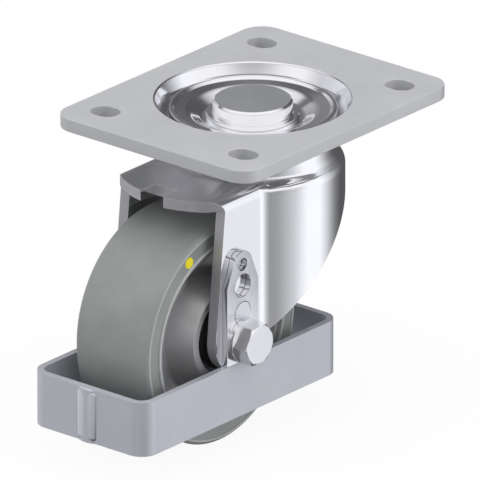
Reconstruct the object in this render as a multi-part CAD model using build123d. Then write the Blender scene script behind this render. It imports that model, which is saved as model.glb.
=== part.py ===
from build123d import *
import os
from math import acos, atan2, cos, hypot, pi, radians, sin, sqrt, tan

# Swivel caster with a foot guard, in millimetres.
# Origin: centre of the plate's mounting face, on the swivel axis.
# +X runs along the wheel axle, +Z is up, and the wheel trails towards -Y.

# Top plate
PLATE_WIDTH = 110.0
PLATE_LENGTH = 140.0
PLATE_THICKNESS = 6.0
PLATE_CORNER_R = 10.5
SLOT_SPACING_X = 77.5
SLOT_SPACING_Y = 105.0
SLOT_WIDTH = 11.0
SLOT_LENGTH = 13.5

# Ring-shaped pressing in the middle of the plate
RIDGE_OUTER_R = 36.5
GROOVE_INNER_RUN = 3.1
GROOVE_OUTER_RUN = 3.5
PRESSING_RIM = 2.9
GROOVE_DEPTH = 6.8
GROOVE_FLOOR_HALF = 1.2
BULGE_INSET = 1.0
RIDGE_WIDTH = 2.9
RIDGE_DROP = 3.0
RIDGE_STEP = 0.8
SHELF_INNER_R = 26.0
SHELF_DROP = 4.8
DISH_RING_R = 22.3
DISH_DEPTH = 8.3
PRESSED_WALL = 4.8

# Ball rows of the swivel head
BALL_R = 3.5
RUNNING_PLAY = 0.05
UPPER_PITCH_R = 33.0
LOWER_PITCH_R = 27.0
UPPER_BALL_DROP = 11.7
UPPER_BALL_COUNT = 18
LOWER_BALL_COUNT = 15

# King pin, its nut and the lower race
PIN_HEAD_R = 17.45
PIN_HEAD_DROP = 0.2
PIN_HEAD_CHAMFER = 1.2
PIN_FLANGE_R = 20.3
PIN_FLANGE_THICKNESS = 2.3
PIN_SHANK_R = 8.0
PIN_HOLE_PLAY = 0.2
PIN_END_CHAMFER = 1.0
RACE_EDGE_GAP = 0.8
RACE_THICKNESS = 3.0
RACE_HUB_R = 14.0
KING_WASHER_R = 15.0
KING_WASHER_THICKNESS = 2.5
KING_NUT_FLATS = 24.0
KING_NUT_HEIGHT = 10.0
KING_PIN_TAIL = 2.5

# Fork, pressed from one sheet
FORK_SHEET = 5.0
FORK_TOP_DROP = 23.6
FORK_BACK_R = 40.0
TYRE_SIDE_GAP = 4.2
CHEEK_BLEND_R = 8.0
FORK_BEND_R = 6.0
BOSS_R = 36.5
BOSS_EDGE_R = 2.0
FORK_HOLE_R = 22.5
FLANGE_ARC_CENTRE_Y = -27.7
FLANGE_ARC_R = 40.3
FLANGE_ARC_HALF_WIDTH = 24.6
NOTCH_HALF_WIDTH = 6.35
NOTCH_END_Y = -58.1
CHEEK_TOP_FRONT_Y = -53.2
CHEEK_END_R = 14.6
BACK_CUT_ANGLE = 44.0

# Wheel and axle
TRAIL = 45.0
WHEEL_R = 50.0
TYRE_WIDTH = 40.0
TREAD_GAP = 11.4
TYRE_THICKNESS = 10.0
TREAD_EDGE = 1.1
RIM_LIP_WIDTH = 1.8
RIM_LIP_DEPTH = 1.0
RIM_FLARE_WIDTH = 4.2
RIM_WEB_HALF = 9.0
HUB_FOOT_R = 27.0
HUB_WALL = 3.2
HUB_PROUD = 2.0
HUB_END_GAP = 0.7

# Wheel bearings
BEARING_OUTER_R = 17.5
BEARING_BORE_R = 7.5
BEARING_WIDTH = 11.0
BEARING_PITCH_R = 12.4
BEARING_BALL_R = 3.0
BEARING_BALL_COUNT = 6
SEAL_THICKNESS = 1.0
SEAL_GAP = 0.3

# Axle bolt and what it clamps
AXLE_BOLT_R = 5.0
BOLT_HOLE_PLAY = 0.2
AXLE_HEX_FLATS = 17.0
AXLE_HEAD_HEIGHT = 7.2
AXLE_WASHER_R = 10.0
AXLE_WASHER_THICKNESS = 2.5
AXLE_NUT_HEIGHT = 8.0
AXLE_BOLT_TAIL = 2.5
HEX_CHAMFER = 0.9

# Guard brackets
BRACKET_THICKNESS = 3.0
BRACKET_HALF_WIDTH = 10.4
BRACKET_TAPER_RISE = 26.0
BRACKET_TOP_R = 6.2
PIN_HOLE_RISE = 12.3
LARGE_HOLE_RISE = 25.0
SMALL_HOLE_RISE = 34.8
LARGE_HOLE_R = 5.25
SMALL_HOLE_R = 2.75
LOCATING_PIN_PLAY = 0.1

# Foot guard
GUARD_END_REACH = 16.0
GUARD_SHEET = 3.0
GUARD_CORNER_R = 8.0
GUARD_BELOW_AXLE = 10.0
GUARD_HEIGHT = 25.0
BEAD_WIDTH = 9.5
BEAD_RISE = 1.2
BEAD_EDGE_R = 0.7

# Heights and places worked out from the sizes above
FORK_TOP_Z = -FORK_TOP_DROP
FORK_UNDERSIDE_Z = FORK_TOP_Z - FORK_SHEET
RIDGE_INNER_R = RIDGE_OUTER_R - RIDGE_WIDTH
GROOVE_BOTTOM_R = RIDGE_OUTER_R + GROOVE_INNER_RUN
GROOVE_OUTER_R = GROOVE_BOTTOM_R + GROOVE_OUTER_RUN
PRESSING_R = GROOVE_OUTER_R + PRESSING_RIM
AXLE_Y = -TRAIL
AXLE_Z = FORK_UNDERSIDE_Z - TREAD_GAP - WHEEL_R
DISH_UNDERSIDE_Z = -DISH_DEPTH - PRESSED_WALL
UPPER_BALL_Z = -UPPER_BALL_DROP
BOSS_TOP_Z = UPPER_BALL_Z - BALL_R
BOSS_UNDERSIDE_Z = BOSS_TOP_Z - FORK_SHEET
LOWER_BALL_Z = BOSS_UNDERSIDE_Z - BALL_R
TRACK_R = BALL_R + RUNNING_PLAY
TRACK_FLOOR_HALF = TRACK_R * tan(pi / 8)
RACE_FLOOR_Z = LOWER_BALL_Z - TRACK_R
RACE_BOTTOM_Z = RACE_FLOOR_Z - RACE_THICKNESS
BOSS_CAVITY_R = BOSS_R - FORK_SHEET
RACE_R = BOSS_CAVITY_R - RACE_EDGE_GAP
KING_NUT_TOP_Z = RACE_BOTTOM_Z - KING_WASHER_THICKNESS
TYRE_SEAT_R = WHEEL_R - TYRE_THICKNESS
RIM_LIP_R = TYRE_SEAT_R - RIM_LIP_WIDTH
RIM_FLARE_R = RIM_LIP_R - RIM_FLARE_WIDTH
HUB_R = BEARING_OUTER_R + HUB_WALL
HUB_HALF_LENGTH = TYRE_WIDTH / 2 + HUB_PROUD
CHEEK_INNER_X = TYRE_WIDTH / 2 + TYRE_SIDE_GAP
FORK_HALF_WIDTH = CHEEK_INNER_X + FORK_SHEET
BRACKET_OUTER_X = FORK_HALF_WIDTH + BRACKET_THICKNESS
WASHER_OUTER_X = BRACKET_OUTER_X + AXLE_WASHER_THICKNESS
GUARD_HALF_WIDTH = BRACKET_OUTER_X
GUARD_LENGTH = 2 * (WHEEL_R + GUARD_END_REACH)
GUARD_TOP_Z = AXLE_Z - GUARD_BELOW_AXLE
BEARING_FACE_X = HUB_HALF_LENGTH - HUB_END_GAP
BEARING_INNER_X = BEARING_FACE_X - BEARING_WIDTH
BEARING_MID_X = BEARING_FACE_X - BEARING_WIDTH / 2
INNER_RING_R = BEARING_PITCH_R - BEARING_BALL_R - RUNNING_PLAY
OUTER_RING_INNER_R = BEARING_PITCH_R + BEARING_BALL_R + 2 * RUNNING_PLAY
CHEEK_HOLES = [(0.0, AXLE_BOLT_R + BOLT_HOLE_PLAY), (PIN_HOLE_RISE, LARGE_HOLE_R)]
BRACKET_OPEN_HOLES = [(LARGE_HOLE_RISE, LARGE_HOLE_R), (SMALL_HOLE_RISE, SMALL_HOLE_R)]
SIDES = (1, -1)


def turned_about_z(outline):
    """Turn a closed outline in the XZ plane about the swivel axis."""
    return revolve(make_face(outline.edges()), Axis.Z)


def ring_about_axle(inner_r, outer_r, start_x, end_x):
    """A plain ring round the axle, from start_x to end_x."""
    plane = Plane((start_x, AXLE_Y, AXLE_Z), x_dir=(0, 1, 0), z_dir=(1, 0, 0))
    return extrude(plane * (Circle(outer_r) - Circle(inner_r)), end_x - start_x)


def turned_about_axle(points):
    """Turn an outline of (x, radius) points about the wheel axle."""
    outline = Polyline([(x, AXLE_Y, AXLE_Z + r) for x, r in points], close=True)
    axle = Axis((0, AXLE_Y, AXLE_Z), (1, 0, 0))
    return revolve(make_face(outline.edges()), axle)


def cylinder_along_x(radius, start_x, end_x, y, z):
    """A round bar along X."""
    plane = Plane((start_x, y, z), x_dir=(0, 1, 0), z_dir=(1, 0, 0))
    return extrude(plane * Circle(radius), end_x - start_x)


def chamfered_hex(flats, height, hole_r=0.0):
    """A hexagon on the XY plane, its top corners turned off by a cone."""
    corner_r = flats / sqrt(3)
    body = extrude(RegularPolygon(corner_r, 6, rotation=30), height)
    rise = HEX_CHAMFER
    cone_r = flats / 2
    top = Pos(0, 0, height - rise / 2) * Cone(cone_r + rise * sqrt(3), cone_r, rise)
    below = Pos(0, 0, (height - rise) / 2) * Cylinder(corner_r + 1, height - rise)
    body = body & (top + below)
    if hole_r > 0:
        body -= Pos(0, 0, height / 2) * Cylinder(hole_r, height * 2)
    return body


def faceted_ball(radius):
    """A ball as 26 flats round a sphere: the squares touch the sphere."""
    cube = Box(2 * radius, 2 * radius, 2 * radius)
    return chamfer(cube.edges(), radius * (2 - sqrt(2)))


def ball_ring(count, pitch_r, ball_r, z):
    """Separate balls evenly round the swivel axis."""
    ball = faceted_ball(ball_r)
    return [Rot(0, 0, 360 * index / count) * Pos(pitch_r, 0, z) * ball for index in range(count)]


def pressed_disc():
    """The pressed middle of the plate: groove, ridge, shelf, dish and ball track."""
    hole_r = PIN_SHANK_R + PIN_HOLE_PLAY
    bulge_z = -GROOVE_DEPTH - PRESSED_WALL
    floor_z = UPPER_BALL_Z + TRACK_R
    floor_start_r = UPPER_PITCH_R - TRACK_FLOOR_HALF
    floor_end_r = UPPER_PITCH_R + TRACK_FLOOR_HALF
    points = [
        (PRESSING_R, 0, 0),
        (GROOVE_OUTER_R, 0, 0),
        (GROOVE_BOTTOM_R + GROOVE_FLOOR_HALF, 0, -GROOVE_DEPTH),
        (GROOVE_BOTTOM_R - GROOVE_FLOOR_HALF, 0, -GROOVE_DEPTH),
        (RIDGE_OUTER_R, 0, -RIDGE_DROP),
        (RIDGE_INNER_R, 0, -RIDGE_DROP),
        (RIDGE_INNER_R - RIDGE_STEP, 0, -RIDGE_DROP - RIDGE_STEP),
        (SHELF_INNER_R, 0, -SHELF_DROP),
        (DISH_RING_R, 0, -DISH_DEPTH),
        (hole_r, 0, -DISH_DEPTH),
        (hole_r, 0, DISH_UNDERSIDE_Z),
        (floor_start_r - floor_z + DISH_UNDERSIDE_Z, 0, DISH_UNDERSIDE_Z),
        (floor_start_r, 0, floor_z),
        (floor_end_r, 0, floor_z),
        (floor_end_r + floor_z - bulge_z, 0, bulge_z),
        (GROOVE_OUTER_R - BULGE_INSET, 0, bulge_z),
        (PRESSING_R, 0, -PLATE_THICKNESS),
    ]
    return turned_about_z(Polyline(points, close=True))


def make_top_plate():
    """Plate with rounded corners, four slots and the pressed middle."""
    outline = RectangleRounded(PLATE_WIDTH, PLATE_LENGTH, PLATE_CORNER_R)
    slots = GridLocations(SLOT_SPACING_X, SLOT_SPACING_Y, 2, 2) * SlotOverall(SLOT_LENGTH, SLOT_WIDTH)
    sheet = extrude(outline - slots - Circle(PRESSING_R), -PLATE_THICKNESS)
    return sheet + pressed_disc()


def make_king_pin():
    """Pin with a chamfered head on a flat flange, and a shank down to the nut."""
    flange_z = -DISH_DEPTH + PIN_FLANGE_THICKNESS
    tail_z = KING_NUT_TOP_Z - KING_NUT_HEIGHT - KING_PIN_TAIL
    chamfer = PIN_HEAD_CHAMFER
    points = [
        (0, 0, -PIN_HEAD_DROP),
        (PIN_HEAD_R - chamfer, 0, -PIN_HEAD_DROP),
        (PIN_HEAD_R, 0, -PIN_HEAD_DROP - chamfer * 0.7),
        (PIN_HEAD_R, 0, flange_z),
        (PIN_FLANGE_R, 0, flange_z),
        (PIN_FLANGE_R, 0, -DISH_DEPTH),
        (PIN_SHANK_R, 0, -DISH_DEPTH),
        (PIN_SHANK_R, 0, tail_z + PIN_END_CHAMFER),
        (PIN_SHANK_R - PIN_END_CHAMFER, 0, tail_z),
        (0, 0, tail_z),
    ]
    return turned_about_z(Polyline(points, close=True))


def make_lower_race():
    """Turned ring with the lower ball track and a hub that reaches the plate."""
    bore_r = PIN_SHANK_R + PIN_HOLE_PLAY
    floor_end_r = LOWER_PITCH_R + TRACK_FLOOR_HALF
    points = [
        (bore_r, 0, DISH_UNDERSIDE_Z),
        (RACE_HUB_R, 0, DISH_UNDERSIDE_Z),
        (RACE_HUB_R, 0, RACE_FLOOR_Z),
        (floor_end_r, 0, RACE_FLOOR_Z),
        (RACE_R, 0, RACE_FLOOR_Z + RACE_R - floor_end_r),
        (RACE_R, 0, RACE_BOTTOM_Z),
        (bore_r, 0, RACE_BOTTOM_Z),
    ]
    return turned_about_z(Polyline(points, close=True))


def make_king_washer():
    """Flat washer under the king pin's nut."""
    middle = Pos(0, 0, RACE_BOTTOM_Z - KING_WASHER_THICKNESS / 2)
    disc = Cylinder(KING_WASHER_R, KING_WASHER_THICKNESS)
    return middle * (disc - Cylinder(PIN_SHANK_R + PIN_HOLE_PLAY, KING_WASHER_THICKNESS))


def make_king_nut():
    """Hexagon nut, its chamfered side down."""
    nut = chamfered_hex(KING_NUT_FLATS, KING_NUT_HEIGHT, PIN_SHANK_R + PIN_HOLE_PLAY)
    return Pos(0, 0, KING_NUT_TOP_Z) * Rot(180, 0, 0) * nut


def fork_plan(inset, reach):
    """Plan of the fork: round back and straight cheeks, joined by hollow blends."""
    half = FORK_HALF_WIDTH - inset
    plan = Circle(FORK_BACK_R - inset) + Pos(0, -reach / 2) * Rectangle(2 * half, reach)
    corner_y = -sqrt((FORK_BACK_R - inset) ** 2 - half ** 2)
    corners = [v for v in plan.vertices() if abs(v.Y - corner_y) < 0.01]
    return fillet(corners, CHEEK_BLEND_R + inset)


def fork_flange_outline():
    """Plan of what the flange keeps: an arc at the front, with a square notch."""
    half = FLANGE_ARC_HALF_WIDTH
    arc_end_y = FLANGE_ARC_CENTRE_Y - sqrt(FLANGE_ARC_R ** 2 - half ** 2)
    back_y = FORK_BACK_R + 5
    side_x = FORK_HALF_WIDTH
    front = ThreePointArc((-half, arc_end_y), (0, FLANGE_ARC_CENTRE_Y - FLANGE_ARC_R), (half, arc_end_y))
    wide_x = FORK_BACK_R + 5
    rest = Polyline(
        (half, arc_end_y),
        (side_x, CHEEK_TOP_FRONT_Y),
        (wide_x, CHEEK_TOP_FRONT_Y),
        (wide_x, back_y),
        (-wide_x, back_y),
        (-wide_x, CHEEK_TOP_FRONT_Y),
        (-side_x, CHEEK_TOP_FRONT_Y),
        (-half, arc_end_y),
    )
    notch_length = NOTCH_END_Y - FLANGE_ARC_CENTRE_Y + FLANGE_ARC_R
    notch = Pos(0, NOTCH_END_Y - notch_length / 2) * Rectangle(2 * NOTCH_HALF_WIDTH, notch_length)
    return make_face([front, *rest.edges()]) - notch


def cheek_side_profile():
    """Side view of the walls: sloping front edge, round end at the axle, slanted back."""
    top_y = CHEEK_TOP_FRONT_Y
    top_z = FORK_UNDERSIDE_Z
    reach = hypot(top_y - AXLE_Y, top_z - AXLE_Z)
    toward_top = atan2(top_z - AXLE_Z, top_y - AXLE_Y)
    front_angle = toward_top + acos(CHEEK_END_R / reach)
    back_angle = radians(BACK_CUT_ANGLE - 90)
    front_point = (0, AXLE_Y + CHEEK_END_R * cos(front_angle), AXLE_Z + CHEEK_END_R * sin(front_angle))
    back_point = (0, AXLE_Y + CHEEK_END_R * cos(back_angle), AXLE_Z + CHEEK_END_R * sin(back_angle))
    low_angle = (front_angle - 2 * pi + back_angle) / 2
    low_point = (0, AXLE_Y + CHEEK_END_R * cos(low_angle), AXLE_Z + CHEEK_END_R * sin(low_angle))
    run = (top_z + FORK_SHEET - back_point[2]) / sin(radians(BACK_CUT_ANGLE))
    back_top = (
        0,
        back_point[1] + run * cos(radians(BACK_CUT_ANGLE)),
        back_point[2] + run * sin(radians(BACK_CUT_ANGLE)),
    )
    end_arc = ThreePointArc(front_point, low_point, back_point)
    rest = Polyline(
        back_point,
        back_top,
        (0, back_top[1], 0),
        (0, top_y, 0),
        (0, top_y, top_z),
        front_point,
    )
    return make_face([end_arc, *rest.edges()])


def bars_through(holes):
    """Bars along the axle's direction that drill (rise above axle, radius) holes."""
    reach = BRACKET_OUTER_X + 1
    return [cylinder_along_x(radius, -reach, reach, AXLE_Y, AXLE_Z + rise) for rise, radius in holes]


def fork_boss():
    """Raised boss in the fork's top, with room inside for the lower race."""
    edge = BOSS_EDGE_R
    points = [
        (FORK_HOLE_R, 0, BOSS_TOP_Z),
        (BOSS_R - edge, 0, BOSS_TOP_Z),
        (BOSS_R, 0, BOSS_TOP_Z - edge),
        (BOSS_R, 0, FORK_UNDERSIDE_Z),
        (BOSS_CAVITY_R, 0, FORK_UNDERSIDE_Z),
        (BOSS_CAVITY_R, 0, BOSS_UNDERSIDE_Z),
        (FORK_HOLE_R, 0, BOSS_UNDERSIDE_Z),
    ]
    return turned_about_z(Polyline(points, close=True))


def make_fork():
    """The whole fork, as one pressed sheet."""
    depth = FORK_TOP_Z - AXLE_Z + WHEEL_R
    reach = TRAIL + WHEEL_R
    block = Pos(0, 0, FORK_TOP_Z) * extrude(fork_plan(0, reach), -depth)
    top_edges = block.faces().sort_by(Axis.Z)[-1].edges()
    block = fillet([e for e in top_edges if e.bounding_box().max.Y > 1 - reach], FORK_BEND_R)
    hollow = Pos(0, 0, FORK_UNDERSIDE_Z) * extrude(fork_plan(FORK_SHEET, reach + 1), -depth)
    side_keep = extrude(cheek_side_profile(), FORK_BACK_R + 1, both=True)
    flange_keep = extrude(fork_flange_outline(), 2 * FORK_UNDERSIDE_Z)
    below = Pos(0, 0, FORK_UNDERSIDE_Z) * extrude(Rectangle(4 * reach, 4 * reach), -depth)
    top = (block - below) & flange_keep
    walls = ((block & below) - hollow) & side_keep
    fork = top + walls
    fork -= Pos(0, 0, FORK_UNDERSIDE_Z) * Cylinder(BOSS_R, depth / 2)
    fork += fork_boss()
    for bar in bars_through(CHEEK_HOLES):
        fork -= bar
    return fork


def make_axle_bolt():
    """Hexagon bolt through bracket, cheeks and axle tube."""
    tail_x = -WASHER_OUTER_X - AXLE_NUT_HEIGHT - AXLE_BOLT_TAIL
    shank = cylinder_along_x(AXLE_BOLT_R, tail_x, WASHER_OUTER_X, AXLE_Y, AXLE_Z)
    shank = chamfer(shank.faces().sort_by(Axis.X)[0].edges(), HEX_CHAMFER)
    head = chamfered_hex(AXLE_HEX_FLATS, AXLE_HEAD_HEIGHT)
    return shank + Pos(WASHER_OUTER_X, AXLE_Y, AXLE_Z) * Rot(0, 90, 0) * head


def make_axle_nut():
    """Hexagon nut on the far end of the axle bolt."""
    nut = chamfered_hex(AXLE_HEX_FLATS, AXLE_NUT_HEIGHT, AXLE_BOLT_R + RUNNING_PLAY)
    return Pos(-WASHER_OUTER_X, AXLE_Y, AXLE_Z) * Rot(0, -90, 0) * nut


def make_axle_washers():
    """One washer under the bolt head and one under the nut."""
    bore_r = AXLE_BOLT_R + BOLT_HOLE_PLAY
    return [ring_about_axle(bore_r, AXLE_WASHER_R, s * BRACKET_OUTER_X, s * WASHER_OUTER_X) for s in SIDES]


def make_axle_tube():
    """Tube on the bolt, clamped between the cheeks."""
    bore_r = AXLE_BOLT_R + RUNNING_PLAY
    return ring_about_axle(bore_r, BEARING_BORE_R, -CHEEK_INNER_X, CHEEK_INNER_X)


def make_bearing_spacer():
    """Tube between the inner rings of the two bearings."""
    return ring_about_axle(BEARING_BORE_R, INNER_RING_R, -BEARING_INNER_X, BEARING_INNER_X)


def make_inner_rings():
    """Inner ring of each bearing, long enough on one side to reach the cheek."""
    near_x = BEARING_INNER_X
    return [ring_about_axle(BEARING_BORE_R, INNER_RING_R, s * near_x, s * CHEEK_INNER_X) for s in SIDES]


def make_outer_rings():
    """Outer ring of each bearing."""
    near_x = BEARING_INNER_X
    far_x = BEARING_FACE_X
    return [ring_about_axle(OUTER_RING_INNER_R, BEARING_OUTER_R, s * near_x, s * far_x) for s in SIDES]


def make_bearing_seals():
    """Seal pressed into each outer ring, clear of the inner ring."""
    bore_r = INNER_RING_R + SEAL_GAP
    near_x = BEARING_FACE_X - SEAL_THICKNESS
    far_x = BEARING_FACE_X
    return [ring_about_axle(bore_r, OUTER_RING_INNER_R, s * near_x, s * far_x) for s in SIDES]


def make_bearing_balls():
    """Balls of the two wheel bearings."""
    ball = Pos(0, BEARING_PITCH_R, 0) * faceted_ball(BEARING_BALL_R)
    balls = []
    for side in SIDES:
        for index in range(BEARING_BALL_COUNT):
            turn = Rot(360 * index / BEARING_BALL_COUNT, 0, 0)
            balls.append(Pos(side * BEARING_MID_X, AXLE_Y, AXLE_Z) * turn * ball)
    return balls


def make_wheel_rim():
    """Cast rim: dished web, conical hub and a seat for each bearing."""
    half_tyre = TYRE_WIDTH / 2
    right = [
        (HUB_HALF_LENGTH, BEARING_OUTER_R),
        (HUB_HALF_LENGTH, HUB_R),
        (RIM_WEB_HALF, HUB_FOOT_R),
        (RIM_WEB_HALF, RIM_FLARE_R),
        (half_tyre - RIM_LIP_DEPTH, RIM_LIP_R),
        (half_tyre - RIM_LIP_DEPTH, TYRE_SEAT_R),
    ]
    left = [(-x, r) for x, r in reversed(right)]
    return turned_about_axle(right + left)


def make_tyre():
    """Solid tyre bonded to the rim, its tread edges broken."""
    half = TYRE_WIDTH / 2
    right = [
        (half, TYRE_SEAT_R),
        (half, WHEEL_R - TREAD_EDGE),
        (half - TREAD_EDGE, WHEEL_R),
    ]
    left = [(-x, r) for x, r in reversed(right)]
    return turned_about_axle(right + left)


def bracket_outline():
    """Outline of a guard bracket in Y and Z: straight foot, tapered and rounded top."""
    foot_z = GUARD_TOP_Z
    shoulder_z = AXLE_Z + BRACKET_TAPER_RISE
    centre_z = AXLE_Z + SMALL_HOLE_RISE
    reach = hypot(BRACKET_HALF_WIDTH, centre_z - shoulder_z)
    lean = atan2(shoulder_z - centre_z, BRACKET_HALF_WIDTH)
    touch = lean + acos(BRACKET_TOP_R / reach)
    side_y = BRACKET_TOP_R * cos(touch)
    side_z = centre_z + BRACKET_TOP_R * sin(touch)
    arc_start = (0, AXLE_Y + side_y, side_z)
    arc_end = (0, AXLE_Y - side_y, side_z)
    top = ThreePointArc(arc_start, (0, AXLE_Y, centre_z + BRACKET_TOP_R), arc_end)
    rest = Polyline(
        arc_end,
        (0, AXLE_Y - BRACKET_HALF_WIDTH, shoulder_z),
        (0, AXLE_Y - BRACKET_HALF_WIDTH, foot_z),
        (0, AXLE_Y + BRACKET_HALF_WIDTH, foot_z),
        (0, AXLE_Y + BRACKET_HALF_WIDTH, shoulder_z),
        arc_start,
    )
    return make_face([top, *rest.edges()])


def make_guard_bracket(side):
    """Perforated plate between the cheek and the washer, standing on the guard's rim."""
    plate = Pos(side * FORK_HALF_WIDTH, 0, 0) * extrude(bracket_outline(), side * BRACKET_THICKNESS)
    for bar in bars_through(CHEEK_HOLES + BRACKET_OPEN_HOLES):
        plate -= bar
    return plate


def make_locating_pins():
    """Pins through bracket and cheek, flush with the bracket and with the cheek's inner face."""
    pin_z = AXLE_Z + PIN_HOLE_RISE
    pin_r = LARGE_HOLE_R - LOCATING_PIN_PLAY
    return [cylinder_along_x(pin_r, s * CHEEK_INNER_X, s * BRACKET_OUTER_X, AXLE_Y, pin_z) for s in SIDES]


def make_foot_guard():
    """Flat band bent into a ring round the wheel, closed by a weld bead at the front."""
    width = 2 * GUARD_HALF_WIDTH
    inner_r = GUARD_CORNER_R - GUARD_SHEET
    band = RectangleRounded(width, GUARD_LENGTH, GUARD_CORNER_R)
    band -= RectangleRounded(width - 2 * GUARD_SHEET, GUARD_LENGTH - 2 * GUARD_SHEET, inner_r)
    bottom_z = GUARD_TOP_Z - GUARD_HEIGHT
    ring = Pos(0, AXLE_Y, bottom_z) * extrude(band, GUARD_HEIGHT)
    return ring + weld_bead(bottom_z)


def weld_bead(bottom_z):
    """Low rounded bead over the band's joint, its top end rounded off."""
    bead_r = ((BEAD_WIDTH / 2) ** 2 + BEAD_RISE ** 2) / (2 * BEAD_RISE)
    wall_y = AXLE_Y - GUARD_LENGTH / 2
    bead = Pos(0, wall_y - BEAD_RISE + bead_r, bottom_z + GUARD_HEIGHT / 2) * Cylinder(bead_r, GUARD_HEIGHT)
    bead = chamfer(bead.edges().filter_by(GeomType.CIRCLE).sort_by(Axis.Z)[-1], BEAD_EDGE_R)
    keep = Pos(0, wall_y, bottom_z) * Box(2 * bead_r, GUARD_SHEET, 3 * GUARD_HEIGHT)
    return bead & keep


def node(shapes):
    """One compound for a node that holds several separate solids."""
    return Compound(children=list(shapes)) if isinstance(shapes, list) else shapes


def main():
    os.makedirs("parts", exist_ok=True)
    parts = {
        "top_plate": make_top_plate(),
        "king_pin": make_king_pin(),
        "lower_race": make_lower_race(),
        "king_washer": make_king_washer(),
        "king_nut": make_king_nut(),
        "fork": make_fork(),
        "upper_balls": ball_ring(UPPER_BALL_COUNT, UPPER_PITCH_R, BALL_R, UPPER_BALL_Z),
        "lower_balls": ball_ring(LOWER_BALL_COUNT, LOWER_PITCH_R, BALL_R, LOWER_BALL_Z),
        "axle_bolt": make_axle_bolt(),
        "axle_nut": make_axle_nut(),
        "axle_washers": make_axle_washers(),
        "axle_tube": make_axle_tube(),
        "bearing_spacer": make_bearing_spacer(),
        "bearing_inner_rings": make_inner_rings(),
        "bearing_outer_rings": make_outer_rings(),
        "bearing_seals": make_bearing_seals(),
        "bearing_balls": make_bearing_balls(),
        "wheel_rim": make_wheel_rim(),
        "tyre": make_tyre(),
        "guard_bracket_right": make_guard_bracket(1),
        "guard_bracket_left": make_guard_bracket(-1),
        "locating_pins": make_locating_pins(),
        "foot_guard": make_foot_guard(),
    }
    for name, shape in parts.items():
        export_step(node(shape), f"parts/{name}.step")


main()
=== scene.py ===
import math

import bmesh
import bpy
from mathutils import Matrix, Vector

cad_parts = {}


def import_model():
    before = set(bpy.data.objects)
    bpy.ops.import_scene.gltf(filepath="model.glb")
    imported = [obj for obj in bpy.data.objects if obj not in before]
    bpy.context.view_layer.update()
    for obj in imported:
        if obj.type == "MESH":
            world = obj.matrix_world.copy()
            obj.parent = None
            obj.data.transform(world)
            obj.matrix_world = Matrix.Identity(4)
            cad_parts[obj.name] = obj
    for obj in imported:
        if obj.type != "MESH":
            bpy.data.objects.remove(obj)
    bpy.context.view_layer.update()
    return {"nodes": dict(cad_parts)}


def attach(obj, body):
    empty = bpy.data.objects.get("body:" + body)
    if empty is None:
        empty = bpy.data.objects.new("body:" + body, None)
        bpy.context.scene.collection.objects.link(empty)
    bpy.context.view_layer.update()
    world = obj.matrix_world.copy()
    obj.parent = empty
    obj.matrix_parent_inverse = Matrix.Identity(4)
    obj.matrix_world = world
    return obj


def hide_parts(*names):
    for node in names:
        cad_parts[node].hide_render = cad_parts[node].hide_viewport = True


# Swivel caster with a foot guard: finish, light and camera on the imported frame.
# Lengths on the caster are written in millimetres and turned to metres by MM. The camera's
# distance, the lamps and the floor's size are in metres.
MM = 0.001

# Camera: the photograph's directions, its scale and its middle
VIEW_RIGHT = Vector((0.7666, 0.6421, 0.0))
VIEW_UP = Vector((-0.2411, 0.2879, 0.9269))
MIDDLE_RIGHT = -5.5 * MM
MIDDLE_UP = -61.25 * MM
FRAME_WIDTH = 206.9 * MM
CAMERA_DISTANCE = 9.5
SENSOR = 36.0
CLIP_START = 0.01
CLIP_END = 60.0

# The plate and its pressing, in millimetres from the king pin's axis
PLATE_THICKNESS = 6.0
PLATE_HALF = (55.0, 70.0)
PLATE_CORNER_R = 10.5
PLATE_EDGE_BREAK = 0.4
SLOT_PLACE = (38.75, 52.5)
SLOT_HALF = (6.75, 5.5)
OPENING_R = 46.0
GROOVE_RIM_R = 43.1

# The fork's sheet, its raised boss and the rounds at the boss's foot, turned from one angle
# to another (degrees) and drawn in over their last few
FORK_SHEET_UNDERSIDE = -28.7
BOSS_R = 36.5
FILLET_ROOT_R = BOSS_R - 0.5
FILLET_END_R = BOSS_R - 0.4
FRONT_FILLET_TOP = -21.6
FRONT_FILLET_DROP = 2.05
FRONT_FILLET_REACH = 2.0
FRONT_FILLET_FOOT = -24.2
FRONT_FILLET_TURN = (-134, -46)
BACK_FILLET_TURN = (-50, 230)
FILLET_STEP = 3
FILLET_DRAWN_IN = 9.0

# The wheel's middle in metres, the rings and the dot on its flank, and the balls
AXLE = Vector((0.0, -45.0, -90.0)) * MM
INNER_RING_R = 41.3
OUTER_RING_R = 48.2
DOT_PLACE = (20.0, -66.4, -51.0)
DOT_R = 2.6
DOT_HEIGHT = 0.3
SWIVEL_BALL_R = 3.5
BEARING_BALL_R = 3.0

# The weld bead on the foot guard, and the floor just below the wheel
BEAD_RADII = (5.3, 1.15, 3.0)
BEAD_Y = -111.0
BEAD_TOP = -100.2
BEAD_BOTTOM = -125.0
FLOOR_Z = -140.5
FLOOR_HALF = 6.0

# Mesh making: steps of a full turn, the angles (degrees) from which edges stay sharp on most
# pieces, on the small rounds and on pieces that are round all over, the angle from which
# edges are broken, and how near corners are joined
TURN_STEPS = 120
SHARP_FROM = 25.0
SHARP_FROM_ON_FILLET = 40.0
SHARP_FROM_ON_ROUND = 60.0
BREAK_FROM = 38.0
JOIN_WITHIN = 0.002
FLAT_FACE_WEIGHT = 80

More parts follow.
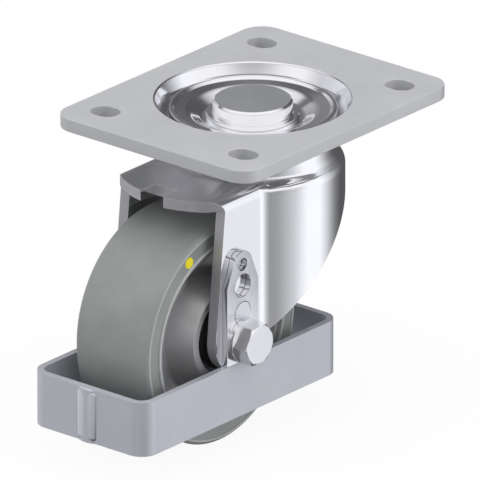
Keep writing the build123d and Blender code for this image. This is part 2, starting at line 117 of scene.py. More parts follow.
# Studio: where the lamps point, the ceiling, the ground, the side that the camera looks from,
# and the walls by bearing, from -180 to 180 degrees about +Z with 0 at +X
LAMP_AIM = Vector((0, -0.03, -0.07))
STUDIO_CEILING = (0.95, 0.95, 0.96)
STUDIO_GROUND = (0.1, 0.1, 0.105)
VIEW_SIDE = Vector((0.6421, -0.7666, 0.0))
STUDIO_WALLS = [
    (bearing / 360 + 0.5, (level * 0.98, level * 0.99, level * 1.03, 1.0))
    for bearing, level in (
        (-180, 0.8),
        (-130, 0.6),
        (-60, 0.45),
        (-38, 0.27),
        (-26, 0.31),
        (-17, 0.37),
        (-7, 0.49),
        (4, 0.63),
        (14, 0.85),
        (22, 1.0),
        (43, 1.0),
        (50, 0.82),
        (55, 0.69),
        (62, 0.49),
        (68, 0.34),
        (76, 0.2),
        (90, 0.1),
        (120, 0.09),
        (145, 0.3),
        (180, 0.8),
    )
]


class Value:
    """A shader socket that takes part in Python arithmetic."""

    def __init__(self, tree, socket):
        self.tree = tree
        self.socket = socket

    def maths(self, operation, other=None):
        return self.tree.node("ShaderNodeMath", {"operation": operation}, [self, other])

    def __add__(self, other):
        return self.maths("ADD", other)

    def __sub__(self, other):
        return self.maths("SUBTRACT", other)

    def __mul__(self, other):
        return self.maths("MULTIPLY", other)


class Tree:
    """Node tree of a material or of the world."""

    def __init__(self, owner):
        owner.use_nodes = True
        self.nodes = owner.node_tree.nodes
        self.links = owner.node_tree.links
        self.nodes.clear()

    def node(self, kind, settings=None, sockets=None, output=0):
        """A new node with its sockets set or linked; gives one of its outputs."""
        made = self.nodes.new(kind)
        for key, value in (settings or {}).items():
            if key == "stops":
                self.set_stops(made.color_ramp, value)
            else:
                setattr(made, key, value)
        pairs = sockets.items() if isinstance(sockets, dict) else enumerate(sockets or [])
        for key, value in pairs:
            if value is None:
                continue
            if isinstance(value, Value):
                self.links.new(value.socket, made.inputs[key])
            else:
                made.inputs[key].default_value = value
        return Value(self, made.outputs[output]) if made.outputs else made

    def set_stops(self, ramp, stops):
        while len(ramp.elements) < len(stops):
            ramp.elements.new(0.5)
        for element, (place, colour) in zip(ramp.elements, stops):
            element.position = place
            element.color = colour

    def place(self):
        """Object coordinates, which are those of the frame."""
        return self.node("ShaderNodeTexCoord", output=3)

    def part(self, vector, axis):
        """One number of a vector: 0 for X, 1 for Y and 2 for Z."""
        return self.node("ShaderNodeSeparateXYZ", None, {"Vector": vector}, axis)

    def along(self, axis):
        """Place along an axis of the frame, in metres."""
        return self.part(self.place(), axis)

    def noise(self, scale, detail, roughness=0.5):
        return self.node(
            "ShaderNodeTexNoise",
            None,
            {"Vector": self.place(), "Scale": scale, "Detail": detail, "Roughness": roughness},
        )

    def ramp(self, value, low, high, bottom=0.0, top=1.0):
        """Goes from bottom to top while value goes from low to high."""
        return self.node(
            "ShaderNodeMapRange",
            {"clamp": True},
            {"Value": value, "From Min": low, "From Max": high, "To Min": bottom, "To Max": top},
        )

    def blend(self, factor, colour_a, colour_b):
        """Mix of two colours: all of the second where factor is 1."""
        made = self.nodes.new("ShaderNodeMix")
        made.data_type = "RGBA"
        for key, value in ((0, factor), (6, colour_a), (7, colour_b)):
            if isinstance(value, Value):
                self.links.new(value.socket, made.inputs[key])
            elif key == 0:
                made.inputs[key].default_value = value
            else:
                made.inputs[key].default_value = (*value, 1.0)
        return Value(self, made.outputs[2])

    def bump(self, height, strength, distance):
        return self.node(
            "ShaderNodeBump", None, {"Height": height, "Strength": strength, "Distance": distance}
        )

    def principled(self, sockets):
        shader = self.node("ShaderNodeBsdfPrincipled", None, sockets)
        self.node("ShaderNodeOutputMaterial", None, {"Surface": shader})


def lighter(colour, times):
    """A colour multiplied, no part of it above 1."""
    return [min(1.0, c * times) for c in colour]


def flange_dullness(tree):
    """Extra roughness of the fork's front flange, which was drawn dull over the die."""
    level = tree.along(2)
    rising = tree.ramp(level, -25.4 * MM, -24.0 * MM)
    falling = tree.ramp(level, -23.2 * MM, -22.0 * MM, 1.0, 0.0)
    front = tree.ramp(tree.along(1), -26.0 * MM, -14.0 * MM, 1.0, 0.0)
    return rising * falling * front * 0.36


def metal_finish(finish, dull=None, painted_shade=None):
    """Zinc or steel: cloudy colour, patchy gloss, fine grain and worn, brighter edges, and painted
    shade between two heights where given.
    """
    name, colour, shade, roughness, grain_scale, grain_depth, metallic = finish
    material = bpy.data.materials.new(name)
    tree = Tree(material)
    cloud = tree.noise(42.0, 5.0, 0.6)
    fine = tree.noise(grain_scale, 3.0, 0.6)
    pointiness = tree.node("ShaderNodeNewGeometry", output=7)
    worn = tree.ramp(pointiness, 0.52, 0.6, 0.0, 0.35)
    base = tree.blend(tree.ramp(cloud, 0.35, 0.68), shade, colour)
    base = tree.blend(worn, base, lighter(colour, 1.12))
    # Painted shade: the colour darkens to a given colour upward between two heights
    if painted_shade:
        low, high, shaded_colour = painted_shade
        base = tree.blend(tree.ramp(tree.along(2), low * MM, high * MM), base, shaded_colour)
    gloss = (fine - 0.5) * (roughness * 0.35) + (cloud - 0.5) * (roughness * 0.3) + roughness
    if dull:
        gloss = gloss + dull(tree)
    tree.principled(
        {
            "Base Color": base,
            "Metallic": metallic,
            "Roughness": gloss,
            "Normal": tree.bump(fine, 0.25, grain_depth * MM),
        }
    )
    return material


def flank_ring_highlights(tree):
    """Painted highlight: how far the two moulded rings of each tyre flank are coloured lighter,
    standing in for the highlights along their edges.
    """
    along = tree.along(1) - AXLE.y
    up = tree.along(2) - AXLE.z
    radius = (along * along + up * up).maths("SQRT")
    inner = tree.ramp((radius - INNER_RING_R * MM).maths("ABSOLUTE"), 0.4 * MM, 1.0 * MM, 0.75, 0.0)
    outer = tree.ramp((radius - OUTER_RING_R * MM).maths("ABSOLUTE"), 0.3 * MM, 0.8 * MM, 0.5, 0.0)
    proud = tree.ramp(tree.along(0).maths("ABSOLUTE"), 20.0 * MM, 20.4 * MM)
    return (inner + outer) * proud


def rubber_finish(name, colour, shade, roughness, painted_highlight=None):
    """Rubber: mottled grey, dusty gloss and a fine moulded grain."""
    material = bpy.data.materials.new(name)
    tree = Tree(material)
    cloud = tree.noise(55.0, 5.0, 0.62)
    fine = tree.noise(900.0, 2.0)
    base = tree.blend(tree.ramp(cloud, 0.36, 0.66), shade, colour)
    # Painted highlight: lighter colour where the mask says, on the tyre flank's rings
    if painted_highlight:
        base = tree.blend(painted_highlight(tree), base, lighter(colour, 1.9))
    tree.principled(
        {
            "Base Color": base,
            "Roughness": (cloud - 0.5) * 0.18 + roughness,
            "Normal": tree.bump(fine, 0.2, 0.06 * MM),
        }
    )
    return material


# Metal finishes: name, colour, colour of its clouds, roughness, grain scale, grain depth
# in millimetres and how metallic the coat is
PLATE = ("plate_satin_zinc", (0.58, 0.585, 0.6), (0.54, 0.545, 0.56), 0.42, 700, 0.02, 0.2)
PRESSING = ("pressing_bright_zinc", (0.95, 0.95, 0.97), (0.92, 0.92, 0.94), 0.11, 500, 0.002, 1)
FORK = ("fork_bright_zinc", (0.985, 0.985, 1.0), (0.96, 0.96, 0.975), 0.05, 420, 0.002, 1)
CUT_EDGE = ("sheared_edge", (0.5, 0.5, 0.52), (0.42, 0.42, 0.44), 0.4, 900, 0.03, 0.6)
PIN_TOP = ("pin_turned_top", (0.4, 0.41, 0.43), (0.36, 0.37, 0.39), 0.38, 800, 0.02, 0.5)
PIN_SIDE = ("pin_bright_side", (0.96, 0.96, 0.97), (0.92, 0.92, 0.93), 0.1, 600, 0.003, 1)
RACE = ("race_turned_steel", (0.5, 0.5, 0.52), (0.43, 0.43, 0.45), 0.25, 500, 0.01, 1)
FASTENER = ("fastener_zinc", (0.97, 0.97, 0.99), (0.93, 0.93, 0.95), 0.22, 700, 0.006, 1)
BALL = ("polished_ball", (0.8, 0.8, 0.82), (0.76, 0.76, 0.78), 0.06, 400, 0.002, 1)
TUBE = ("drawn_tube", (0.5, 0.5, 0.52), (0.44, 0.44, 0.46), 0.28, 500, 0.01, 1)
BEARING = ("ground_bearing_steel", (0.55, 0.55, 0.57), (0.5, 0.5, 0.52), 0.18, 700, 0.006, 1)
BEAD = ("weld_bead_zinc", (0.8, 0.81, 0.86), (0.74, 0.75, 0.8), 0.24, 300, 0.05, 1)
RIM = ("cast_rim", (0.48, 0.48, 0.485), (0.42, 0.42, 0.425), 0.33, 380, 0.03, 0.4)
BRACKET = ("bracket_zinc", (0.9, 0.9, 0.93), (0.85, 0.85, 0.88), 0.12, 600, 0.004, 1)
LOCATING_PIN = ("locating_pin_face", (0.82, 0.82, 0.86), (0.76, 0.76, 0.8), 0.14, 600, 0.008, 1)
GUARD = ("guard_matt_zinc", (0.61, 0.62, 0.67), (0.57, 0.58, 0.63), 0.36, 520, 0.03, 0.4)

# Painted shade: upward between these two heights, in millimetres, the brackets turn to this darker
# colour
BRACKET_PAINTED_SHADE = (-84, -66, (0.62, 0.62, 0.66))

# Rubber and paint: name, colour, colour of its clouds and roughness
SEAL = ("bearing_seal", (0.012, 0.012, 0.013), (0.02, 0.02, 0.02), 0.45)
TYRE = ("grey_solid_tyre", (0.31, 0.32, 0.315), (0.275, 0.285, 0.28), 0.46)
DOT = ("yellow_marking", (0.97, 0.84, 0.01), (0.93, 0.79, 0.01), 0.45)


def finishes():
    """All finishes of the caster, by the name that the pieces use."""
    return {
        "plate": metal_finish(PLATE),
        "pressing": metal_finish(PRESSING),
        "fork": metal_finish(FORK, dull=flange_dullness),
        "cut_edge": metal_finish(CUT_EDGE),
        "pin_top": metal_finish(PIN_TOP),
        "pin": metal_finish(PIN_SIDE),
        "race": metal_finish(RACE),
        "fastener": metal_finish(FASTENER),
        "ball": metal_finish(BALL),
        "tube": metal_finish(TUBE),
        "bearing": metal_finish(BEARING),
        "bead": metal_finish(BEAD),
        "seal": rubber_finish(*SEAL),
        "rim": metal_finish(RIM),
        "tyre": rubber_finish(*TYRE, painted_highlight=flank_ring_highlights),
        "bracket": metal_finish(BRACKET, painted_shade=BRACKET_PAINTED_SHADE),
        "locating_pin": metal_finish(LOCATING_PIN),
        "guard": metal_finish(GUARD),
        "dot": rubber_finish(*DOT),
    }


def add_piece(made, name, body, material, sharp_from=SHARP_FROM):
    """Turns a bmesh into a piece that rides a body of the frame."""
    mesh = bpy.data.meshes.new(name)
    made.to_mesh(mesh)
    made.free()
    for polygon in mesh.polygons:
        polygon.use_smooth = True
    mesh.set_sharp_from_angle(angle=math.radians(sharp_from))
    piece = bpy.data.objects.new(name, mesh)
    bpy.context.scene.collection.objects.link(piece)
    mesh.materials.append(material)
    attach(piece, body)
    return piece


def add_built_piece(made, name, body, material, sharp_from=SHARP_FROM):
    """The same for a bmesh built here, whose faces are first turned outward."""
    bmesh.ops.recalc_face_normals(made, faces=made.faces)
    return add_piece(made, name, body, material, sharp_from)


def weight_normals(piece):
    """Keeps large flats flat where they meet small rounds."""
    modifier = piece.modifiers.new("flat_faces", "WEIGHTED_NORMAL")
    modifier.keep_sharp = True
    modifier.weight = FLAT_FACE_WEIGHT


def stand_for(piece, node_name):
    """Shows a finished piece in the place of a frame node."""
    weight_normals(piece)
    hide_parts(node_name)


def merged_copy(node, within):
    """A bmesh of a frame node, its triangles joined where corners lie within a distance."""
    copy = bmesh.new()
    copy.from_mesh(node.data)
    bmesh.ops.remove_doubles(copy, verts=copy.verts, dist=within * MM)
    return copy


def dress(frame, node_name, piece_name, body, material, edge):
    """A smooth copy of a frame node with its sharp edges broken, standing for that node."""
    copy = merged_copy(frame["nodes"][node_name], JOIN_WITHIN)
    if edge > 0:
        corners = [e for e in copy.edges if len(e.link_faces) == 2 and e.is_convex]
        sharp = [e for e in corners if e.calc_face_angle(0) > math.radians(BREAK_FROM)]
        bmesh.ops.bevel(
            copy,
            geom=sharp,
            offset=edge * MM,
            offset_type="OFFSET",
            segments=2,
            profile=0.5,
            affect="EDGES",
            clamp_overlap=True,
            material=-1,
        )
    piece = add_piece(copy, piece_name, body, material)
    stand_for(piece, node_name)
    return piece


def rounded(points, steps=5):
    """A profile of (along, radius, corner round) points with its corners rounded."""
    out = []
    for index, (x, r, corner) in enumerate(points):
        here = Vector((x, r))
        if corner <= 0 or index in (0, len(points) - 1):
            out.append(here)
            continue
        before = Vector(points[index - 1][:2]) - here
        after = Vector(points[index + 1][:2]) - here
        half = before.angle(after) / 2
        cut = min(corner / math.tan(half), before.length * 0.49, after.length * 0.49)
        radius = cut * math.tan(half)
        start = here + before.normalized() * cut
        end = here + after.normalized() * cut
        inward = (before.normalized() + after.normalized()).normalized()
        centre = here + inward * radius / math.sin(half)
        for step in range(steps + 1):
            share = step / steps
            ray = (start - centre).lerp(end - centre, share)
            out.append(centre + ray.normalized() * radius)
    return out


def turned(profile, axis, centre, closed=True):
    """Spins a profile of (along, radius) points about an axis through centre."""
    made = bmesh.new()
    across = Vector((1, 0, 0)) if axis.z else Vector((0, 1, 0))
    verts = [made.verts.new(centre + axis * p.x * MM + across * p.y * MM) for p in profile]
    edges = [made.edges.new((a, b)) for a, b in zip(verts, verts[1:])]
    if closed:
        edges.append(made.edges.new((verts[-1], verts[0])))
    bmesh.ops.spin(
        made,
        geom=verts + edges,
        cent=centre,
        axis=axis,
        angle=math.tau,
        steps=TURN_STEPS,
        use_merge=True,
    )
    bmesh.ops.remove_doubles(made, verts=made.verts, dist=0.001 * MM)
    return made


def ring_of_edges(made, points, height):
    """A closed loop of edges through points at one height, all in millimetres."""
    verts = [made.verts.new(Vector((x, y, height)) * MM) for x, y in points]
    return [made.edges.new(pair) for pair in zip(verts, verts[1:] + verts[:1])]


def round_box(centre, half, radius, steps=16):
    """Points of a box with rounded corners, anticlockwise."""
    points = []
    for quarter, (side_x, side_y) in enumerate(((1, 1), (-1, 1), (-1, -1), (1, -1))):
        for step in range(steps + 1):
            angle = (quarter + step / steps) * math.pi / 2
            x = centre[0] + side_x * (half[0] - radius) + radius * math.cos(angle)
            y = centre[1] + side_y * (half[1] - radius) + radius * math.sin(angle)
            if not points or math.dist(points[-1], (x, y)) > 0.01:
                points.append((x, y))
    if math.dist(points[0], points[-1]) < 0.01:
        points.pop()
    return points


def circle_points(radius):
    """Points of a circle, as many as a turned piece has steps."""
    angles = [math.tau * step / TURN_STEPS for step in range(TURN_STEPS)]
    return [(radius * math.cos(angle), radius * math.sin(angle)) for angle in angles]


def stacked_rings(made, rings):
    """Wall through rings (points, height); gives its first and last loop of edges."""
    first = last = ring_of_edges(made, *rings[0])
    for (here, level), (after, next_level) in zip(rings, rings[1:]):
        places = [
            (Vector((*a, level)) * MM, Vector((*b, next_level)) * MM) for a, b in zip(here, after)
        ]
        grown = bmesh.ops.extrude_edge_only(made, edges=last)["geom"]
        new_verts = {g for g in grown if isinstance(g, bmesh.types.BMVert)}
        for vert in new_verts:
            vert.co = min(places, key=lambda pair: (pair[0] - vert.co).length)[1]
        edges = [g for g in grown if isinstance(g, bmesh.types.BMEdge)]
        last = [e for e in edges if all(v in new_verts for v in e.verts)]
    return first, last


def sheet_wall(made, centre, half, radius, inward):
    """Wall of the sheet along a rounded box, with broken edges towards both faces."""
    broken = PLATE_EDGE_BREAK
    upper = [(broken, 0.0), (broken * 0.3, -broken * 0.3), (0.0, -broken)]
    lower = [(step, -PLATE_THICKNESS - height) for step, height in reversed(upper)]
    rings = []
    for step, height in upper + lower:
        move = -step if inward else step
        box = round_box(centre, (half[0] + move, half[1] + move), radius + move)
        rings.append((box, height))
    return stacked_rings(made, rings)


def plate_sheet(made):
    """Flat sheet of the plate: outline and slots, open in the middle for the pressing."""
    walls = [sheet_wall(made, (0, 0), PLATE_HALF, PLATE_CORNER_R, True)]
    for x in (-SLOT_PLACE[0], SLOT_PLACE[0]):
        for y in (-SLOT_PLACE[1], SLOT_PLACE[1]):
            walls.append(sheet_wall(made, (x, y), SLOT_HALF, SLOT_HALF[1], False))
    top = [edge for first, last in walls for edge in first]
    bottom = [edge for first, last in walls for edge in last]
    top += ring_of_edges(made, circle_points(OPENING_R), 0.0)
    bottom += ring_of_edges(made, circle_points(OPENING_R), -PLATE_THICKNESS)
    bmesh.ops.triangle_fill(made, use_beauty=True, edges=top)
    bmesh.ops.triangle_fill(made, use_beauty=True, edges=bottom)


def plate_piece(material):
    """The plate: a flat sheet whose pressed middle is turned as one smooth curve."""
    profile = rounded(
        [
            (0.0, OPENING_R, 0.0),
            (0.0, GROOVE_RIM_R - 0.6, 1.1),
            (-4.8, 40.2, 5.0),
            (-7.9, 38.5, 1.8),
            (-7.7, 37.6, 1.0),
            (-3.6, 36.4, 0.7),
            (-3.6, 34.8, 0.7),
            (-4.6, 33.6, 1.2),
            (-5.4, 28.0, 9.0),
            (-8.3, 22.4, 3.5),
            (-8.3, 8.2, 0.0),
            (-13.1, 8.2, 0.0),
            (-13.1, 26.6, 1.0),
            (-8.15, 31.5, 0.8),
            (-8.15, 34.5, 0.8),
            (-11.6, 37.9, 1.2),
            (-11.6, 42.2, 2.2),
            (-PLATE_THICKNESS, OPENING_R, 0.0),
        ]
    )
    made = turned(profile, Vector((0, 0, 1)), Vector((0, 0, 0)), closed=False)
    plate_sheet(made)
    bmesh.ops.remove_doubles(made, verts=made.verts, dist=0.01 * MM)
    piece = add_built_piece(made, "pressed_top_plate", "mount", material["plate"])
    piece.data.materials.append(material["pressing"])
    for polygon in piece.data.polygons:
        if polygon.center.xy.length < (GROOVE_RIM_R - 0.05) * MM:
            polygon.material_index = 1
    stand_for(piece, "top_plate")


def fork_piece(frame, material):
    """The fork in bright zinc, with dull sheared edges."""
    piece = dress(frame, "fork", "pressed_fork", "fork_set", material["fork"], 0.3)
    piece.data.materials.append(material["cut_edge"])
    for polygon in piece.data.polygons:
        middle = polygon.center / MM
        normal = polygon.normal
        on_wall = middle.z < FORK_SHEET_UNDERSIDE and abs(normal.x) < 0.02
        round_back = abs(normal.z) < 0.01 and middle.y > 30
        on_flange = middle.z > FORK_SHEET_UNDERSIDE and middle.y < -50 and abs(normal.z) < 0.05
        if (on_wall and not round_back) or (on_flange and abs(normal.x) < 0.99):
            polygon.material_index = 1


def fillet_arc(made, profile, first, last):
    """Part of a ring about the king pin, from first to last in degrees.

    Over the last few degrees, its ends are drawn in to the boss wall.
    """
    start = Matrix.Rotation(math.radians(first), 3, "Z")
    verts = [made.verts.new(start @ Vector((r, 0, z)) * MM) for z, r in profile]
    edges = [made.edges.new(pair) for pair in zip(verts, verts[1:] + verts[:1])]
    spun = bmesh.ops.spin(
        made,
        geom=verts + edges,
        cent=(0, 0, 0),
        axis=(0, 0, 1),
        angle=math.radians(last - first),
        steps=int((last - first) / FILLET_STEP),
    )["geom_last"]
    middle = math.radians((first + last) / 2)
    for end in (verts, [g for g in spun if isinstance(g, bmesh.types.BMVert)]):
        bmesh.ops.contextual_create(made, geom=end)
    for vert in made.verts:
        turn = math.degrees(math.atan2(vert.co.y, vert.co.x) - middle)
        left = (last - first) / 2 - abs((turn + 180) % 360 - 180)
        radius = vert.co.xy.length / MM
        share = min(1.0, max(0.0, left / FILLET_DRAWN_IN))
        drawn = FILLET_END_R + (radius - FILLET_END_R) * share
        vert.co.xy *= drawn / radius


def fillet_piece(made, name, material):
    add_built_piece(
        made, name, "fork_set", material["fork"], SHARP_FROM_ON_FILLET
    )


def boss_fillets(material):
    """Rounds at the foot of the fork's raised boss: on the front flange and round the back."""
    front = bmesh.new()
    profile = [(FRONT_FILLET_TOP, FILLET_ROOT_R), (FRONT_FILLET_TOP, BOSS_R)]
    for step in range(1, 7):
        angle = step / 6 * math.pi / 2
        level = FRONT_FILLET_TOP - FRONT_FILLET_DROP * math.sin(angle)
        profile.append((level, BOSS_R + FRONT_FILLET_REACH * (1 - math.cos(angle))))
    profile.append((FRONT_FILLET_FOOT, BOSS_R + FRONT_FILLET_REACH))
    profile.append((FRONT_FILLET_FOOT, FILLET_ROOT_R))
    fillet_arc(front, profile, *FRONT_FILLET_TURN)
    fillet_piece(front, "boss_fillet_front", material)
    back = bmesh.new()
    profile = [
        (-21.2, FILLET_ROOT_R),
        (-21.2, BOSS_R),
        (-22.4, BOSS_R + 0.12),
        (-23.3, BOSS_R + 0.42),
        (-24.1, BOSS_R + 0.92),
        (-24.8, BOSS_R + 1.45),
        (-25.65, BOSS_R + 2.05),
        (-26.3, BOSS_R + 1.9),
        (-26.3, FILLET_ROOT_R),
    ]
    fillet_arc(back, profile, *BACK_FILLET_TURN)
    fillet_piece(back, "boss_fillet_back", material)


def pin_piece(material):
    """The king pin, turned: dull top, bright side, thread at its end."""
    profile = rounded(
        [
            (-0.2, 0.0, 0.0),
            (-0.2, 16.4, 0.25),
            (-1.1, 17.45, 0.5),
            (-6.0, 17.45, 0.3),
            (-6.0, 20.3, 0.4),
            (-8.3, 20.3, 0.0),
            (-8.3, 8.0, 0.0),
            (-42.9, 8.0, 0.0),
            (-43.3, 7.6, 0.0),
            (-43.7, 8.0, 0.0),
            (-44.1, 7.6, 0.0),
            (-44.5, 7.8, 0.0),
            (-45.25, 7.1, 0.0),
            (-45.25, 0.0, 0.0),
        ],
        3,
    )
    made = turned(profile, Vector((0, 0, 1)), Vector((0, 0, 0)), closed=False)
    piece = add_built_piece(made, "king_pin_turned", "mount", material["pin"])
    piece.data.materials.append(material["pin_top"])
    for polygon in piece.data.polygons:
        if polygon.normal.z > 0.95 and polygon.center.z > -1.2 * MM:
            polygon.material_index = 1
    stand_for(piece, "king_pin")


def two_sided(half):
    """A profile and its mirror image about the wheel's middle."""
    return half + [(-x, r, corner) for x, r, corner in reversed(half)]


def tyre_piece(material):
    """Solid tyre with round tread edges and two moulded rings on each flank."""
    half = [
        (19.4, 40.0, 0.0),
        (19.6, 40.3, 0.2),
        (20.8, 40.9, 0.4),
        (20.8, 41.7, 0.4),
        (19.95, 42.4, 0.3),
        (19.95, 47.2, 0.3),
        (20.5, 47.8, 0.3),
        (20.5, 48.5, 0.4),
        (19.2, 50.0, 1.0),
    ]
    made = turned(rounded(two_sided(half), 6), Vector((1, 0, 0)), AXLE)
    piece = add_built_piece(made, "solid_tyre", "wheel", material["tyre"])
    stand_for(piece, "tyre")


def rim_piece(material):
    """Cast rim: lip, flare, web and conical hub, with rounded inner corners."""
    half = [
        (22.0, 17.5, 0.3),
        (22.0, 20.7, 0.8),
        (9.0, 27.0, 3.0),
        (9.0, 34.0, 3.0),
        (19.0, 38.2, 0.6),
        (19.0, 40.0, 0.0),
    ]
    made = turned(rounded(two_sided(half), 6), Vector((1, 0, 0)), AXLE)
    piece = add_built_piece(made, "cast_wheel_rim", "wheel", material["rim"])
    stand_for(piece, "wheel_rim")


def ball_centres(node):
    """Middle of each loose ball in a frame node."""
    copy = merged_copy(node, 0.01)
    seen = set()
    centres = []
    for first in copy.verts:
        if first in seen:
            continue
        seen.add(first)
        ball = [first]
        for vert in ball:
            others = [link.other_vert(vert) for link in vert.link_edges]
            fresh = [other for other in others if other not in seen]
            seen.update(fresh)
            ball += fresh
        centres.append(sum((v.co for v in ball), Vector()) / len(ball))
    copy.free()
    return centres


def ball_piece(frame, node_name, piece_name, body, radius, material):
    """Polished round balls where the frame has faceted ones."""
    made = bmesh.new()
    for centre in ball_centres(frame["nodes"][node_name]):
        bmesh.ops.create_icosphere(
            made, subdivisions=3, radius=radius * MM, matrix=Matrix.Translation(centre)
        )
    ball_finish = material["ball"]
    piece = add_piece(made, piece_name, body, ball_finish, SHARP_FROM_ON_ROUND)
    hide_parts(node_name)


def weld_bead(material):
    """Long rounded bead over the guard's joint, its upper end closed by a round cap."""
    made = bmesh.new()
    bmesh.ops.create_uvsphere(made, u_segments=48, v_segments=24, radius=MM)
    bmesh.ops.scale(made, verts=made.verts, vec=BEAD_RADII)
    lower = [v for v in made.verts if v.co.z < -0.01 * MM]
    stretch = BEAD_BOTTOM - BEAD_TOP + 2 * BEAD_RADII[2]
    middle = (0, BEAD_Y, BEAD_TOP - BEAD_RADII[2])
    bmesh.ops.translate(made, verts=lower, vec=(0, 0, stretch * MM))
    bmesh.ops.translate(made, verts=made.verts, vec=Vector(middle) * MM)
    add_built_piece(
        made, "guard_weld_bead", "fork_set", material["bead"], SHARP_FROM_ON_ROUND
    )


def marking_dot(material):
    """Round yellow mark on the tyre's flank."""
    made = bmesh.new()
    place = Matrix.Translation(Vector(DOT_PLACE) * MM) @ Matrix.Rotation(math.pi / 2, 4, "Y")
    bmesh.ops.create_cone(
        made,
        cap_ends=True,
        segments=40,
        radius1=DOT_R * MM,
        radius2=(DOT_R - DOT_HEIGHT / 2) * MM,
        depth=DOT_HEIGHT * MM,
        matrix=place,
    )
    add_built_piece(made, "yellow_dot", "wheel", material["dot"])


def small_parts(frame, material):
    """Nodes whose shape is kept: smooth copies with broken edges."""
    rows = [
        ("lower_race", "lower_race_turned", "mount", "race", "race_steel", 0.2),
        ("king_washer", "king_washer_flat", "mount", "fastener", "fastener_zinc", 0.2),
        ("king_nut", "king_nut_hex", "mount", "fastener", "fastener_zinc", 0.2),
        ("axle_bolt", "axle_bolt_hex", "fork_set", "fastener", "fastener_zinc", 0.2),
        ("axle_nut", "axle_nut_hex", "fork_set", "fastener", "fastener_zinc", 0.2),
        ("axle_washers", "axle_washer_pair", "fork_set", "fastener", "fastener_zinc", 0.25),
        ("axle_tube", "axle_tube_drawn", "fork_set", "tube", "tube_steel", 0.0),
        ("bearing_spacer", "bearing_spacer_tube", "fork_set", "tube", "tube_steel", 0.0),
        ("bearing_inner_rings", "inner_ring_pair", "fork_set", "bearing", "bearing_steel", 0.2),
        ("bearing_outer_rings", "outer_ring_pair", "wheel", "bearing", "bearing_steel", 0.2),
        ("bearing_seals", "seal_pair", "wheel", "seal", "seal_rubber", 0.15),
        ("guard_bracket_right", "right_bracket_plate", "fork_set", "bracket", "bracket_zinc", 0.3),
        ("guard_bracket_left", "left_bracket_plate", "fork_set", "bracket", "bracket_zinc", 0.3),
        (
            "locating_pins",
            "locating_pin_pair",
            "fork_set",
            "locating_pin",
            "locating_pin_steel",
            0.2,
        ),
        ("foot_guard", "welded_foot_guard", "fork_set", "guard", "guard_zinc", 0.3),
    ]
    for node_name, piece_name, body, finish, slot, edge in rows:
        dress(frame, node_name, piece_name, body, material[finish], edge)


def floor():
    """White floor that shows only as white and as a soft shadow."""
    made = bmesh.new()
    bmesh.ops.create_grid(
        made,
        x_segments=1,
        y_segments=1,
        size=FLOOR_HALF,
        matrix=Matrix.Translation((0, 0, FLOOR_Z * MM)),
    )
    mesh = bpy.data.meshes.new("studio_floor")
    made.to_mesh(mesh)
    made.free()
    ground = bpy.data.objects.new("studio_floor", mesh)
    bpy.context.scene.collection.objects.link(ground)
    material = bpy.data.materials.new("floor_white")
    tree = Tree(material)
    grain = tree.noise(3.0, 2.0)
    paint = tree.blend(grain, (0.9, 0.9, 0.9), (0.93, 0.93, 0.93))
    matt = tree.node("ShaderNodeBsdfDiffuse", None, {"Color": paint})
    white = tree.node("ShaderNodeEmission", None, {"Color": (1, 1, 1, 1), "Strength": 1.0})
    camera_ray = tree.node("ShaderNodeLightPath", output=0)
    mixed = tree.node("ShaderNodeMixShader", None, [camera_ray * 0.93, matt, white])
    tree.node("ShaderNodeOutputMaterial", None, {"Surface": mixed})
    mesh.materials.append(material)
    ground.visible_glossy = False
    ground.visible_diffuse = False


def world():
    """Studio that the metal mirrors, by bearing and by height; white where the camera looks."""
    studio = bpy.data.worlds.new("studio")
    bpy.context.scene.world = studio
    tree = Tree(studio)
    direction = tree.node("ShaderNodeTexCoord", output=0)
    x, y, height = (tree.part(direction, axis) for axis in range(3))
    bearing = tree.node("ShaderNodeMath", {"operation": "ARCTAN2"}, [y, x])
    walls = tree.node(
        "ShaderNodeValToRGB", {"stops": STUDIO_WALLS}, {"Fac": bearing * (0.5 / math.pi) + 0.5}
    )
    downward = tree.ramp(height, -0.42, -0.7)
    shade = tree.blend(downward, walls, STUDIO_GROUND)
    facing = x * VIEW_SIDE.x + y * VIEW_SIDE.y
    front_box = tree.ramp(facing, 0.0, 0.4) * tree.ramp(height, 0.05, 0.3)
    shade = tree.blend(front_box, shade, STUDIO_CEILING)
    upward = tree.ramp(height, 0.56, 0.86)
    shade = tree.blend(upward, shade, STUDIO_CEILING)
    gap_under_ceiling = tree.ramp(height, 0.47, 0.52) * tree.ramp(height, 0.6, 0.68, 1.0, 0.0)
    shade = tree.blend(gap_under_ceiling * 0.85, shade, STUDIO_GROUND)
    mirrored = tree.node("ShaderNodeBackground", None, {"Color": shade, "Strength": 1.0})
    white = tree.node("ShaderNodeBackground", None, {"Color": (1, 1, 1, 1), "Strength": 1.0})
    camera_ray = tree.node("ShaderNodeLightPath", output=0)
    mixed = tree.node("ShaderNodeMixShader", None, [camera_ray, mirrored, white])
    tree.node("ShaderNodeOutputWorld", None, {"Surface": mixed})


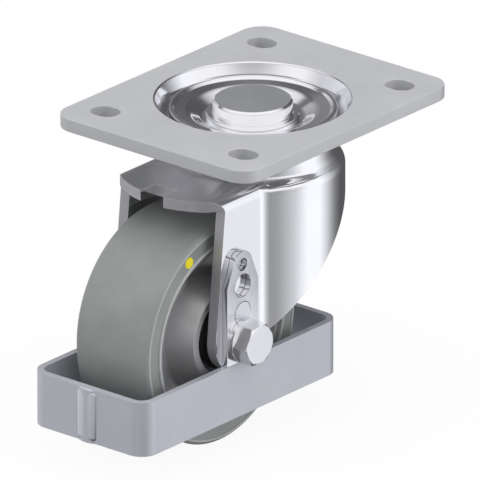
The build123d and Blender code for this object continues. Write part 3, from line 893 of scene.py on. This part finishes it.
def area_light(name, place, size, power):
    """Soft box aimed at the caster's middle. The metal doesn't mirror it."""
    light = bpy.data.lights.new(name, "AREA")
    light.shape = "RECTANGLE"
    light.size, light.size_y = size
    light.energy = power
    lamp = bpy.data.objects.new(name, light)
    lamp.location = place
    lamp.visible_glossy = False
    aim = LAMP_AIM - Vector(place)
    lamp.rotation_euler = aim.to_track_quat("-Z", "Y").to_euler()
    bpy.context.scene.collection.objects.link(lamp)


def lights():
    """Large soft boxes: one overhead, one at each side of the camera."""
    area_light("overhead_box", (0.1, -0.1, 1.3), (1.2, 1.2), 7)
    area_light("left_box", (-0.9, -1.0, 0.35), (0.7, 1.1), 3.2)
    area_light("right_box", (1.3, 0.2, 0.2), (0.6, 1.1), 6)


def camera():
    """Very long lens, so that lines stay parallel as in the photograph."""
    data = bpy.data.cameras.new("product_camera")
    data.sensor_width = SENSOR
    data.lens = SENSOR * CAMERA_DISTANCE / FRAME_WIDTH
    data.clip_start = CLIP_START
    data.clip_end = CLIP_END
    view = bpy.data.objects.new("product_camera", data)
    right = VIEW_RIGHT.normalized()
    back = right.cross(VIEW_UP).normalized()
    up = back.cross(right)
    target = right * MIDDLE_RIGHT + up * MIDDLE_UP
    turn = Matrix((right, up, back)).transposed().to_4x4()
    view.matrix_world = Matrix.Translation(target + back * CAMERA_DISTANCE) @ turn
    bpy.context.scene.collection.objects.link(view)
    bpy.context.scene.camera = view


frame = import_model()
material = finishes()
plate_piece(material)
fork_piece(frame, material)
boss_fillets(material)
pin_piece(material)
tyre_piece(material)
rim_piece(material)
ball_piece(frame, "upper_balls", "upper_ball_row", "fork_set", SWIVEL_BALL_R, material)
ball_piece(frame, "lower_balls", "lower_ball_row", "fork_set", SWIVEL_BALL_R, material)
ball_piece(frame, "bearing_balls", "bearing_ball_sets", "fork_set", BEARING_BALL_R, material)
small_parts(frame, material)
weld_bead(material)
marking_dot(material)
floor()
world()
lights()
camera()
bpy.context.scene.view_settings.view_transform = "Standard"
